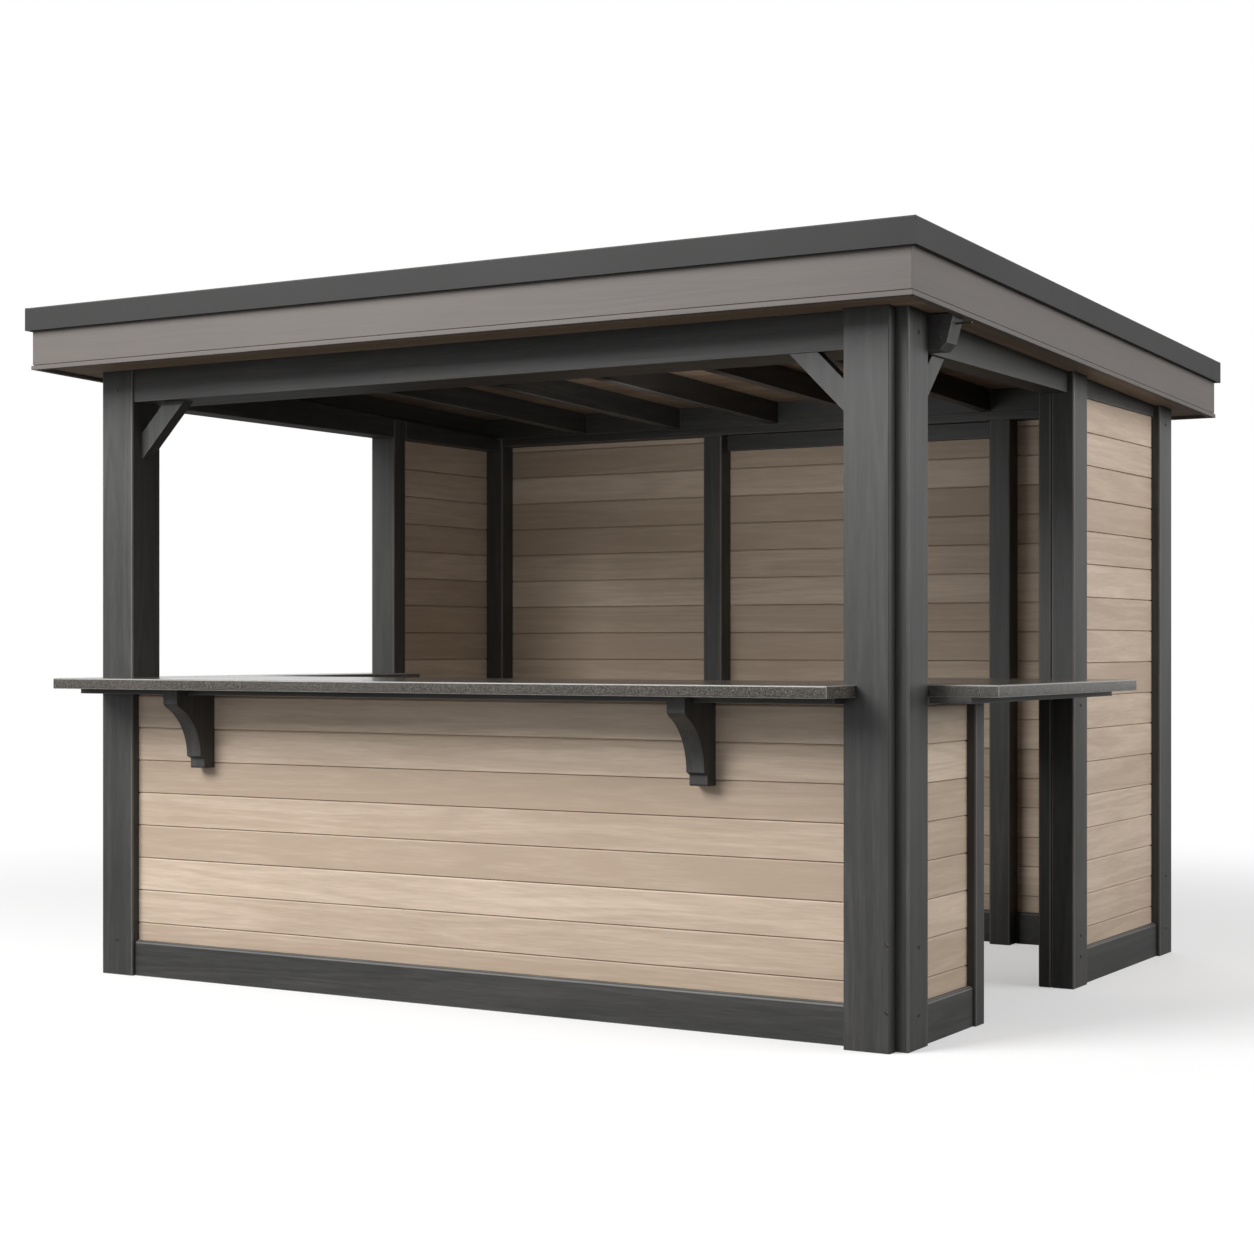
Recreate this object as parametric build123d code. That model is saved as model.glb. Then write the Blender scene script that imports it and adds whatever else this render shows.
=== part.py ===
from build123d import *
import math
import os

# Bar pavilion with a flat roof that falls to the back.
# Sizes are in millimetres. X runs along the front, Y runs to the back and Z is up.
# The layout is drawn about the middle of the four corner posts.
# The last step moves it so that the origin is at the middle of the whole footprint, on the ground.

os.makedirs("parts", exist_ok=True)

# Driving sizes of the frame
FRAME_LENGTH = 3250.0          # outside of the corner posts, along the front
FRAME_DEPTH = 2595.0           # outside of the corner posts, front to back
POST_SIDE = 150.0              # square corner posts
POST_EDGE = 4.0                # small chamfer on the upright edges
RAFTER_SEAT = 2248.0           # underside of the rafters above the front of the frame
ROOF_FALL_ANGLE = 1.75         # fall to the back, in degrees
FRONT_BEAM_DEPTH = 132.0       # from the rafters' underside to the beams' level underside
BEAM_SETBACK = 8.0             # face of the front beam behind the face of the posts
SIDE_BEAM_WIDTH = 100.0
SIDE_BEAM_SETBACK = 24.0       # face of the side beams behind the outer face of the posts
TIE_BEAM_WIDTH = 80.0          # beam bolted behind the front posts
TIE_BEAM_REACH = 83.0          # how far its ends stand out past the posts at the top
TIE_END_SLANT = 23.0           # how much less they stand out above the bevel
TIE_END_BEVEL = 22.0           # slanted lower corner of those ends
TIE_END_GAP = 4.0              # shadow gap between those ends and the soffit

# Walls of tongued boards between the posts
BOARD_THICKNESS = 28.0
WALL_SETBACK = 35.0            # outer face of the boards behind the outer face of the posts
REAR_WALL_DROP = 112.0         # top of the rear wall below the rafters' seat at the front
MID_POST_WIDTH = 90.0          # posts on the inside of the rear wall
MID_POST_FROM_LEFT = 1253.5    # middle of the first one from the left face of the frame
MID_POST_FROM_RIGHT = 667.5    # middle of the second one from the right face of the frame
HEAD_RAIL_DROP = 66.0          # extra rail at the top of the middle bay
HEAD_RAIL_THICKNESS = 30.0

# Base boards
BASE_HEIGHT = 130.0
BASE_THICKNESS = 20.0
BASE_CHAMFER = 8.0

# Cover boards on the front and the inner side of the right corner post
COVER_WIDTH = 151.0
COVER_THICKNESS = 42.5
COVER_OFFSET = 43.0            # its right edge in from the outer face of the post
COVER_ROUND = 6.0

# Doorway and serving openings
RIGHT_LOW_WALL_LENGTH = 394.5  # from the corner post to the stile at the doorway
DOOR_POST_WIDTH = 85.0
DOOR_POST_DEPTH = 143.0
JAMB_WIDTH = 48.0
DOORWAY_WIDTH = 836.0
STILE_DEPTH = 72.0
STILE_WIDTH = 90.0
STILE_SETBACK = 4.0
LEFT_OPENING_LENGTH = 1498.5   # between the front post and the mid post
LEFT_MID_POST_WIDTH = 122.0
LEFT_MID_POST_DEPTH = 85.0

# Counters
COUNTER_TOP = 1100.0
COUNTER_THICKNESS = 38.0
COUNTER_EDGE = 2.5
FRONT_COUNTER_REACH = 250.0    # past the front of the posts
RIGHT_COUNTER_REACH = 227.0    # past the outside of the posts
COUNTER_WIDTH = 800.0
LEFT_COUNTER_WIDTH = 260.0
COUNTER_PAST_COVER = 43.0      # the front counter runs over the face of the cover board
RAIL_THICKNESS = 20.0
FRONT_RAIL_WIDTH = 112.0
RIGHT_RAIL_WIDTH = 139.0

# Corbels
CORBEL_THICKNESS = 64.0
CORBEL_REACH = 200.0
CORBEL_HEIGHT = 285.0
CORBEL_CAP = 51.0
CORBEL_CAP_CHAMFER = 13.0
CORBEL_SWEEP_FOOT = 75.0       # reach of the body where the sweep ends
CORBEL_SWEEP_DROP = 177.0
CORBEL_FOOT_REACH = 55.0
CORBEL_FOOT_ROUND = 7.0
CORBEL_FROM_LEFT = 515.0       # its right-hand side in from the left face of the frame
CORBEL_FROM_RIGHT = 674.0      # its right-hand side in from the right face of the frame

# Knee braces
BRACE_LEG = 208.0
BRACE_CUT = 97.0               # length of each end cut
BRACE_THICKNESS = 50.0
FRONT_BRACE_SETBACK = 50.5     # behind the front of the left post and of the cover board
SIDE_BRACE_SETBACK = 35.0      # behind the outer face of the right posts

# Roof
RAFTER_WIDTH = 45.0
RAFTER_HEIGHT = 91.0
RAFTER_COUNT = 6
RAFTER_FROM_LEFT = 584.0       # middle of the first rafter from the left face of the frame
RAFTER_FROM_RIGHT = 246.0      # middle of the last rafter from the right face of the frame
BLOCKING_THICKNESS = 28.0
DECK_THICKNESS = 20.0
MEMBRANE_THICKNESS = 4.0
LEFT_OVERHANG = 151.5          # edge trim past the left side of the frame
RIGHT_OVERHANG = 126.5         # edge trim past the right side of the frame
END_OVERHANG = 241.0           # edge trim past the front and the back of the frame
SOFFIT_THICKNESS = 14.0
FASCIA_THICKNESS = 20.0
FASCIA_HEIGHT = 204.0
FASCIA_SHOWING = 142.0
FASCIA_DROP = 12.0             # foot of the fascia below the soffit
FASCIA_BEAD = 15.0
FASCIA_BEAD_PROUD = 4.0
FASCIA_GROOVE = 3.0
TRIM_THICKNESS = 20.0
TRIM_HEIGHT = 84.0
TRIM_CAP_WIDTH = 70.0
TRIM_EDGE = 3.0
CUT_MARGIN = 400.0             # how far cutting shapes run past what they cut
ON_PLANE = 0.01                # how near to a plane an edge is taken to lie on it

# Places worked out from the driving sizes
HALF_LENGTH = FRAME_LENGTH / 2
HALF_DEPTH = FRAME_DEPTH / 2
FRONT_FACE = -HALF_DEPTH
REAR_FACE = HALF_DEPTH
LEFT_FACE = -HALF_LENGTH
RIGHT_FACE = HALF_LENGTH
FRONT_POST_BACK = FRONT_FACE + POST_SIDE
REAR_POST_FRONT = REAR_FACE - POST_SIDE
LEFT_POST_INSIDE = LEFT_FACE + POST_SIDE
RIGHT_POST_INSIDE = RIGHT_FACE - POST_SIDE
TIE_BEAM_BACK = FRONT_POST_BACK + TIE_BEAM_WIDTH
WALL_DEPTH = WALL_SETBACK + BOARD_THICKNESS
COVER_RIGHT = RIGHT_FACE - COVER_OFFSET
COVER_LEFT = COVER_RIGHT - COVER_WIDTH
COVER_FRONT = FRONT_FACE - COVER_THICKNESS
STILE_FRONT = FRONT_POST_BACK + RIGHT_LOW_WALL_LENGTH
STILE_BACK = STILE_FRONT + STILE_DEPTH
DOOR_POST_FRONT = STILE_BACK + DOORWAY_WIDTH
DOOR_POST_BACK = DOOR_POST_FRONT + DOOR_POST_DEPTH
MID_POST_LEFT = LEFT_FACE + MID_POST_FROM_LEFT
MID_POST_RIGHT = RIGHT_FACE - MID_POST_FROM_RIGHT
CORBEL_FACES = (LEFT_FACE + CORBEL_FROM_LEFT, RIGHT_FACE - CORBEL_FROM_RIGHT)
LEFT_MID_POST_FRONT = FRONT_POST_BACK + LEFT_OPENING_LENGTH
LEFT_MID_POST_BACK = LEFT_MID_POST_FRONT + LEFT_MID_POST_DEPTH
BEAM_UNDERSIDE = RAFTER_SEAT - FRONT_BEAM_DEPTH
REAR_WALL_TOP = RAFTER_SEAT - REAR_WALL_DROP
RAFTER_PITCH = (FRAME_LENGTH - RAFTER_FROM_LEFT - RAFTER_FROM_RIGHT) / (RAFTER_COUNT - 1)
COUNTER_UNDERSIDE = COUNTER_TOP - COUNTER_THICKNESS
COUNTER_FRONT = FRONT_FACE - FRONT_COUNTER_REACH
COUNTER_BACK = COUNTER_FRONT + COUNTER_WIDTH
COUNTER_OUTSIDE = RIGHT_FACE + RIGHT_COUNTER_REACH
COUNTER_INSIDE = COUNTER_OUTSIDE - COUNTER_WIDTH
LEFT_COUNTER_INSIDE = LEFT_FACE + LEFT_COUNTER_WIDTH
ROOF_LEFT = LEFT_FACE - LEFT_OVERHANG
ROOF_RIGHT = RIGHT_FACE + RIGHT_OVERHANG
ROOF_BACK = REAR_FACE + END_OVERHANG
FALL = math.tan(math.radians(ROOF_FALL_ANGLE))
ORIGIN_X = (COUNTER_OUTSIDE + ROOF_LEFT) / 2
ORIGIN_Y = (COUNTER_FRONT + ROOF_BACK) / 2


def seat(y):
    """Height of the underside of the rafters at y."""
    return RAFTER_SEAT - FALL * (y - FRONT_FACE)


def soffit(y):
    """Height of the underside of the soffit boards at y."""
    return seat(y) - SOFFIT_THICKNESS


def rafter_top(y):
    return seat(y) + RAFTER_HEIGHT


def deck_top(y):
    return rafter_top(y) + DECK_THICKNESS


def on_plane(value, plane):
    """Whether a measured coordinate lies on a plane."""
    return abs(value - plane) < ON_PLANE


def level(z):
    """A height that is the same everywhere, for sloped_bar."""
    return lambda y: z


def bar(x0, x1, y0, y1, z0, z1):
    """A square-cut timber between two opposite corners."""
    place = Pos((x0 + x1) / 2, (y0 + y1) / 2, (z0 + z1) / 2)
    return place * Box(x1 - x0, y1 - y0, z1 - z0)


def sloped_bar(x0, x1, y0, y1, under, top):
    """A timber whose underside and top follow heights given for each y."""
    side = Polyline(
        (x0, y0, under(y0)),
        (x0, y1, under(y1)),
        (x0, y1, top(y1)),
        (x0, y0, top(y0)),
        close=True,
    )
    return extrude(make_face(side), amount=x1 - x0, dir=(1, 0, 0))


def post(x0, x1, y0, y1):
    """A post from the ground to the sloping seat of the rafters, with eased upright edges."""
    timber = sloped_bar(x0, x1, y0, y1, level(0), seat)
    return chamfer(timber.edges().filter_by(Axis.Z), POST_EDGE)


def save(name, *pieces):
    """Move the pieces to the final origin and write them as one node."""
    place = Pos(-ORIGIN_X, -ORIGIN_Y, 0)
    solids = []
    for piece in pieces:
        solids.extend((place * piece).solids())
    shape = solids[0] if len(solids) == 1 else Compound(children=solids)
    shape.label = name
    export_step(shape, f"parts/{name}.step")
    print(name, len(solids), "solids")


# Corner posts
save("front_left_post", post(LEFT_FACE, LEFT_POST_INSIDE, FRONT_FACE, FRONT_POST_BACK))
save("front_right_post", post(RIGHT_POST_INSIDE, RIGHT_FACE, FRONT_FACE, FRONT_POST_BACK))
save("rear_left_post", post(LEFT_FACE, LEFT_POST_INSIDE, REAR_POST_FRONT, REAR_FACE))
save("rear_right_post", post(RIGHT_POST_INSIDE, RIGHT_FACE, REAR_POST_FRONT, REAR_FACE))

# Posts beside the doorway and the left serving opening
door_post_inside = RIGHT_FACE - DOOR_POST_WIDTH
left_mid_inside = LEFT_FACE + LEFT_MID_POST_WIDTH
jamb_inside = door_post_inside - JAMB_WIDTH
save("door_post", post(door_post_inside, RIGHT_FACE, DOOR_POST_FRONT, DOOR_POST_BACK))
save("door_jamb", post(jamb_inside, door_post_inside, DOOR_POST_FRONT, DOOR_POST_BACK))
save("left_mid_post", post(LEFT_FACE, left_mid_inside, LEFT_MID_POST_FRONT, LEFT_MID_POST_BACK))

# Upright stile that ends the low wall beside the doorway
stile_outside = RIGHT_FACE - STILE_SETBACK
stile = bar(stile_outside - STILE_WIDTH, stile_outside, STILE_FRONT, STILE_BACK, 0, COUNTER_UNDERSIDE)
save("doorway_stile", chamfer(stile.edges().filter_by(Axis.Z), POST_EDGE))

# Cover boards on the right corner post, the front one with a rounded right edge
cover = sloped_bar(COVER_LEFT, COVER_RIGHT, COVER_FRONT, FRONT_FACE, level(0), soffit)
cover_edges = cover.edges().filter_by(Axis.Z).group_by(Axis.Y)[0].sort_by(Axis.X)
cover = fillet(cover_edges[-1], COVER_ROUND)
inner_cover = sloped_bar(COVER_LEFT, RIGHT_POST_INSIDE, FRONT_FACE, FRONT_POST_BACK, level(0), seat)
save("corner_cover_boards", cover, inner_cover)

# Front beam between the posts, and the tie beam behind them with its ends showing
front_beam_face = FRONT_FACE + BEAM_SETBACK
front_beam = sloped_bar(
    LEFT_POST_INSIDE, COVER_LEFT, front_beam_face, FRONT_POST_BACK, level(BEAM_UNDERSIDE), seat
)
save("front_beam", front_beam)


def tie_end_top(y):
    return soffit(y) - TIE_END_GAP


def tie_end_cutter(post_face, outward):
    """What is sawn off a tie beam's end: all beyond its slanted end and its bevelled lower corner."""
    top = tie_end_top(FRONT_POST_BACK)
    bevel_top = BEAM_UNDERSIDE + TIE_END_BEVEL
    slanted = TIE_BEAM_REACH - TIE_END_SLANT
    far = TIE_BEAM_REACH + CUT_MARGIN
    outline = [
        (TIE_BEAM_REACH, top),
        (slanted, bevel_top),
        (slanted - TIE_END_BEVEL, BEAM_UNDERSIDE),
        (far, BEAM_UNDERSIDE),
        (far, top),
    ]
    points = [(post_face + outward * out, FRONT_POST_BACK, z) for out, z in outline]
    return extrude(make_face(Polyline(*points, close=True)), amount=TIE_BEAM_WIDTH, dir=(0, 1, 0))


tie_beam = sloped_bar(LEFT_FACE, RIGHT_FACE, FRONT_POST_BACK, TIE_BEAM_BACK, level(BEAM_UNDERSIDE), seat)
tie_beam += sloped_bar(
    LEFT_FACE - TIE_BEAM_REACH,
    RIGHT_FACE + TIE_BEAM_REACH,
    FRONT_POST_BACK,
    TIE_BEAM_BACK,
    level(BEAM_UNDERSIDE),
    tie_end_top,
)
tie_beam -= tie_end_cutter(LEFT_FACE, -1)
tie_beam -= tie_end_cutter(RIGHT_FACE, 1)
save("front_tie_beam", tie_beam)

# Side beams in two lengths each, cut around the posts they meet
left_beam_face = LEFT_FACE + SIDE_BEAM_SETBACK
left_beam_inside = left_beam_face + SIDE_BEAM_WIDTH
right_beam_face = RIGHT_FACE - SIDE_BEAM_SETBACK
right_beam_inside = right_beam_face - SIDE_BEAM_WIDTH
side_spans = (
    (left_beam_face, left_beam_inside, TIE_BEAM_BACK, LEFT_MID_POST_FRONT),
    (left_beam_face, left_beam_inside, LEFT_MID_POST_BACK, REAR_POST_FRONT),
    (right_beam_inside, right_beam_face, TIE_BEAM_BACK, DOOR_POST_FRONT),
    (right_beam_inside, right_beam_face, DOOR_POST_BACK, REAR_POST_FRONT),
)
save("side_beams", *[sloped_bar(*span, level(BEAM_UNDERSIDE), seat) for span in side_spans])

# Walls between the posts
front_wall_face = FRONT_FACE + WALL_SETBACK
front_wall_inside = FRONT_FACE + WALL_DEPTH
rear_wall_face = REAR_FACE - WALL_SETBACK
rear_wall_inside = REAR_FACE - WALL_DEPTH
left_wall_face = LEFT_FACE + WALL_SETBACK
left_wall_inside = LEFT_FACE + WALL_DEPTH
right_wall_face = RIGHT_FACE - WALL_SETBACK
right_wall_inside = RIGHT_FACE - WALL_DEPTH
save(
    "front_low_wall",
    bar(LEFT_POST_INSIDE, COVER_LEFT, front_wall_face, front_wall_inside, 0, COUNTER_UNDERSIDE),
)
save(
    "left_low_wall",
    bar(left_wall_face, left_wall_inside, FRONT_POST_BACK, LEFT_MID_POST_FRONT, 0, COUNTER_UNDERSIDE),
)
save(
    "right_low_wall",
    bar(right_wall_inside, right_wall_face, FRONT_POST_BACK, STILE_FRONT, 0, COUNTER_UNDERSIDE),
)
save(
    "left_rear_wall",
    bar(left_wall_face, left_wall_inside, LEFT_MID_POST_BACK, REAR_POST_FRONT, 0, BEAM_UNDERSIDE),
)
save(
    "right_rear_wall",
    bar(right_wall_inside, right_wall_face, DOOR_POST_BACK, REAR_POST_FRONT, 0, BEAM_UNDERSIDE),
)
save(
    "rear_wall",
    bar(LEFT_POST_INSIDE, RIGHT_POST_INSIDE, rear_wall_inside, rear_wall_face, 0, REAR_WALL_TOP),
)

# Plate on top of the rear wall
rear_plate = sloped_bar(
    LEFT_POST_INSIDE, RIGHT_POST_INSIDE, REAR_POST_FRONT, REAR_FACE, level(REAR_WALL_TOP), seat
)
save("rear_wall_plate", rear_plate)

# Posts and head rail on the inside of the rear wall
mid_posts = []
for centre in (MID_POST_LEFT, MID_POST_RIGHT):
    mid_post = bar(
        centre - MID_POST_WIDTH / 2,
        centre + MID_POST_WIDTH / 2,
        REAR_POST_FRONT,
        rear_wall_inside,
        0,
        REAR_WALL_TOP,
    )
    front_edges = mid_post.edges().filter_by(Axis.Z).group_by(Axis.Y)[0]
    mid_posts.append(chamfer(front_edges, POST_EDGE))
save("rear_mid_posts", *mid_posts)
save(
    "rear_head_rail",
    bar(
        MID_POST_LEFT + MID_POST_WIDTH / 2,
        MID_POST_RIGHT - MID_POST_WIDTH / 2,
        rear_wall_inside - HEAD_RAIL_THICKNESS,
        rear_wall_inside,
        REAR_WALL_TOP - HEAD_RAIL_DROP,
        REAR_WALL_TOP,
    ),
)


# Base boards with a chamfered top edge, on both faces of the walls
def base_board_x(x0, x1, wall, outward):
    """A base board along X on the wall face at y = wall, standing out towards outward."""
    face = wall + outward * BASE_THICKNESS
    board = bar(x0, x1, min(wall, face), max(wall, face), 0, BASE_HEIGHT)
    top_edges = board.edges().filter_by(Axis.X).group_by(Axis.Z)[-1].sort_by(Axis.Y)
    return chamfer(top_edges[0 if outward < 0 else -1], BASE_CHAMFER)


def base_board_y(y0, y1, wall, outward):
    """A base board along Y on the wall face at x = wall, standing out towards outward."""
    face = wall + outward * BASE_THICKNESS
    board = bar(min(wall, face), max(wall, face), y0, y1, 0, BASE_HEIGHT)
    top_edges = board.edges().filter_by(Axis.Y).group_by(Axis.Z)[-1].sort_by(Axis.X)
    return chamfer(top_edges[0 if outward < 0 else -1], BASE_CHAMFER)


save("front_base_board", base_board_x(LEFT_POST_INSIDE, COVER_LEFT, front_wall_face, -1))
save("rear_base_board", base_board_x(LEFT_POST_INSIDE, RIGHT_POST_INSIDE, rear_wall_face, 1))
save(
    "left_base_boards",
    base_board_y(FRONT_POST_BACK, LEFT_MID_POST_FRONT, left_wall_face, -1),
    base_board_y(LEFT_MID_POST_BACK, REAR_POST_FRONT, left_wall_face, -1),
)
save(
    "right_base_boards",
    base_board_y(FRONT_POST_BACK, STILE_FRONT, right_wall_face, 1),
    base_board_y(DOOR_POST_BACK, REAR_POST_FRONT, right_wall_face, 1),
)
mid_left_edge = MID_POST_LEFT - MID_POST_WIDTH / 2
mid_right_edge = MID_POST_RIGHT + MID_POST_WIDTH / 2
save(
    "inner_base_boards",
    base_board_x(LEFT_POST_INSIDE, COVER_LEFT, front_wall_inside, 1),
    base_board_x(LEFT_POST_INSIDE, mid_left_edge, rear_wall_inside, -1),
    base_board_x(
        MID_POST_LEFT + MID_POST_WIDTH / 2, MID_POST_RIGHT - MID_POST_WIDTH / 2, rear_wall_inside, -1
    ),
    base_board_x(mid_right_edge, RIGHT_POST_INSIDE, rear_wall_inside, -1),
    base_board_y(FRONT_POST_BACK, LEFT_MID_POST_FRONT, left_wall_inside, 1),
    base_board_y(LEFT_MID_POST_BACK, REAR_POST_FRONT, left_wall_inside, 1),
    base_board_y(FRONT_POST_BACK, STILE_FRONT, right_wall_inside, -1),
    base_board_y(DOOR_POST_BACK, REAR_POST_FRONT, right_wall_inside, -1),
)


# Counters
def counter_bar(x0, x1, y0, y1):
    return bar(x0, x1, y0, y1, COUNTER_UNDERSIDE, COUNTER_TOP)


def eased(slab, places):
    """Chamfer the upper edges of a counter that lie on one of the given planes."""
    top_edges = slab.edges().group_by(Axis.Z)[-1]
    chosen = []
    for edge in top_edges:
        middle = edge.center()
        for axis, value in places:
            across = edge.bounding_box().size.X if axis == "x" else edge.bounding_box().size.Y
            where = middle.X if axis == "x" else middle.Y
            if on_plane(across, 0) and on_plane(where, value):
                chosen.append(edge)
    return chamfer(chosen, COUNTER_EDGE)


counter_right_end = COVER_LEFT + COUNTER_PAST_COVER
front_counter = counter_bar(LEFT_FACE, counter_right_end, COUNTER_FRONT, COVER_FRONT)
front_counter += counter_bar(LEFT_FACE, COVER_LEFT, COVER_FRONT, FRONT_FACE)
front_counter += counter_bar(LEFT_POST_INSIDE, COVER_LEFT, FRONT_FACE, FRONT_POST_BACK)
front_counter += counter_bar(LEFT_COUNTER_INSIDE, COUNTER_INSIDE, FRONT_POST_BACK, COUNTER_BACK)
front_counter = eased(
    front_counter,
    (("y", COUNTER_FRONT), ("y", COUNTER_BACK), ("x", LEFT_FACE), ("x", counter_right_end)),
)
save("front_counter", front_counter)

right_counter = counter_bar(COUNTER_INSIDE, COUNTER_OUTSIDE, FRONT_POST_BACK, DOOR_POST_FRONT)
right_counter = eased(
    right_counter,
    (("x", COUNTER_OUTSIDE), ("y", DOOR_POST_FRONT), ("y", FRONT_POST_BACK)),
)
save("right_counter", right_counter)

left_counter = counter_bar(LEFT_FACE, LEFT_COUNTER_INSIDE, FRONT_POST_BACK, LEFT_MID_POST_FRONT)
left_counter = eased(left_counter, (("x", LEFT_FACE), ("x", LEFT_COUNTER_INSIDE)))
save("left_counter", left_counter)

# Rails under the overhanging counters, the front one broken at the corbels
rail_underside = COUNTER_UNDERSIDE - RAIL_THICKNESS
rail_stops = [LEFT_FACE]
for face in CORBEL_FACES:
    rail_stops.extend((face - CORBEL_THICKNESS, face))
rail_stops.append(COVER_LEFT)
front_rails = []
for start, stop in zip(rail_stops[0::2], rail_stops[1::2]):
    front_rails.append(
        bar(start, stop, FRONT_FACE - FRONT_RAIL_WIDTH, FRONT_FACE, rail_underside, COUNTER_UNDERSIDE)
    )
save("front_counter_rails", *front_rails)
save(
    "right_counter_rail",
    bar(
        RIGHT_FACE,
        RIGHT_FACE + RIGHT_RAIL_WIDTH,
        FRONT_POST_BACK,
        DOOR_POST_FRONT,
        rail_underside,
        COUNTER_UNDERSIDE,
    ),
)


# Corbels that carry the front counter
def corbel(right_face):
    """Side profile with a square cap, a hollow sweep and a rounded foot block."""
    wall = front_wall_face
    top = COUNTER_UNDERSIDE
    left_face = right_face - CORBEL_THICKNESS

    def at(reach, drop):
        return (left_face, wall - reach, top - drop)

    sweep_start = (CORBEL_REACH - CORBEL_CAP_CHAMFER, CORBEL_CAP + CORBEL_CAP_CHAMFER)
    sweep_end = (CORBEL_SWEEP_FOOT, sweep_start[1] + CORBEL_SWEEP_DROP)
    sweep_in = sweep_start[0] - sweep_end[0]
    turn = 2 * math.atan2(sweep_in, CORBEL_SWEEP_DROP)
    radius = CORBEL_SWEEP_DROP / math.sin(turn)
    half = turn / 2
    sweep_middle = (
        sweep_end[0] + radius * (1 - math.cos(half)),
        sweep_end[1] - radius * math.sin(half),
    )
    notch = CORBEL_SWEEP_FOOT - CORBEL_FOOT_REACH
    foot_top = sweep_end[1] + notch / 2
    foot_round_start = CORBEL_HEIGHT - CORBEL_FOOT_ROUND
    foot_round_end = CORBEL_FOOT_REACH - CORBEL_FOOT_ROUND
    foot_round_in = CORBEL_FOOT_ROUND * (1 - math.cos(math.radians(45)))
    upper = Polyline(at(0, 0), at(CORBEL_REACH, 0), at(CORBEL_REACH, CORBEL_CAP), at(*sweep_start))
    sweep = ThreePointArc(at(*sweep_start), at(*sweep_middle), at(*sweep_end))
    neck = Polyline(
        at(*sweep_end),
        at(CORBEL_FOOT_REACH, foot_top),
        at(CORBEL_FOOT_REACH, foot_round_start),
    )
    rounding = ThreePointArc(
        at(CORBEL_FOOT_REACH, foot_round_start),
        at(CORBEL_FOOT_REACH - foot_round_in, CORBEL_HEIGHT - foot_round_in),
        at(foot_round_end, CORBEL_HEIGHT),
    )
    back = Polyline(at(foot_round_end, CORBEL_HEIGHT), at(0, CORBEL_HEIGHT), at(0, 0))
    profile = make_face(upper + sweep + neck + rounding + back)
    return extrude(profile, amount=CORBEL_THICKNESS, dir=(1, 0, 0))


save("counter_corbels", *[corbel(face) for face in CORBEL_FACES])


# Knee braces at 45 degrees, cut to seat on the post and under the beam
def brace_outline(post_face, inward, across):
    """Corners of a brace from a post face, towards inward, in a plane given by across."""
    foot_low = BEAM_UNDERSIDE - BRACE_LEG
    foot_high = foot_low + BRACE_CUT
    head_far = post_face + inward * BRACE_LEG
    head_near = head_far - inward * BRACE_CUT
    return [
        across(post_face, foot_low),
        across(head_far, BEAM_UNDERSIDE),
        across(head_near, BEAM_UNDERSIDE),
        across(post_face, foot_high),
    ]


def front_brace(post_face, inward, post_front):
    face = post_front + FRONT_BRACE_SETBACK
    outline = brace_outline(post_face, inward, lambda x, z: (x, face, z))
    return extrude(make_face(Polyline(*outline, close=True)), amount=BRACE_THICKNESS, dir=(0, 1, 0))


save(
    "front_knee_braces",
    front_brace(LEFT_POST_INSIDE, 1, FRONT_FACE),
    front_brace(COVER_LEFT, -1, COVER_FRONT),
)
side_face = RIGHT_FACE - SIDE_BRACE_SETBACK
side_outline = brace_outline(FRONT_POST_BACK, 1, lambda y, z: (side_face, y, z))
side_brace = extrude(make_face(Polyline(*side_outline, close=True)), amount=BRACE_THICKNESS, dir=(-1, 0, 0))
save("side_knee_brace", side_brace)

# Rafters on the beams, falling to the back
soffit_left = ROOF_LEFT + TRIM_THICKNESS + FASCIA_THICKNESS
soffit_right = ROOF_RIGHT - TRIM_THICKNESS - FASCIA_THICKNESS
soffit_middle = (soffit_left + soffit_right) / 2
soffit_half = (soffit_right - soffit_left) / 2
soffit_end = ROOF_BACK - TRIM_THICKNESS - FASCIA_THICKNESS
rafter_lefts = [
    LEFT_FACE + RAFTER_FROM_LEFT + step * RAFTER_PITCH - RAFTER_WIDTH / 2
    for step in range(RAFTER_COUNT)
]
rafters = [
    sloped_bar(left, left + RAFTER_WIDTH, -soffit_end, soffit_end, seat, rafter_top)
    for left in rafter_lefts
]
save("rafters", *rafters)

# Blocking between the rafters, over the beams and the rear plate
blocking = []
bay_starts = [left_beam_face] + [left + RAFTER_WIDTH for left in rafter_lefts]
bay_stops = rafter_lefts + [right_beam_face]
for start, stop in zip(bay_starts, bay_stops):
    for near in (front_beam_face, REAR_POST_FRONT):
        blocking.append(sloped_bar(start, stop, near, near + BLOCKING_THICKNESS, seat, rafter_top))
save("rafter_blocking", *blocking)
joist_front = front_beam_face + BLOCKING_THICKNESS
side_joists = [
    sloped_bar(inner, inner + RAFTER_WIDTH, joist_front, REAR_POST_FRONT, seat, rafter_top)
    for inner in (left_beam_face, right_beam_face - RAFTER_WIDTH)
]
save("side_joists", *side_joists)

# Roof deck and its waterproof sheet
deck = sloped_bar(soffit_left, soffit_right, -soffit_end, soffit_end, rafter_top, deck_top)
save("roof_deck", deck)
save(
    "roof_sheet",
    sloped_bar(
        soffit_left,
        soffit_right,
        -soffit_end,
        soffit_end,
        deck_top,
        lambda y: deck_top(y) + MEMBRANE_THICKNESS,
    ),
)

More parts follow.
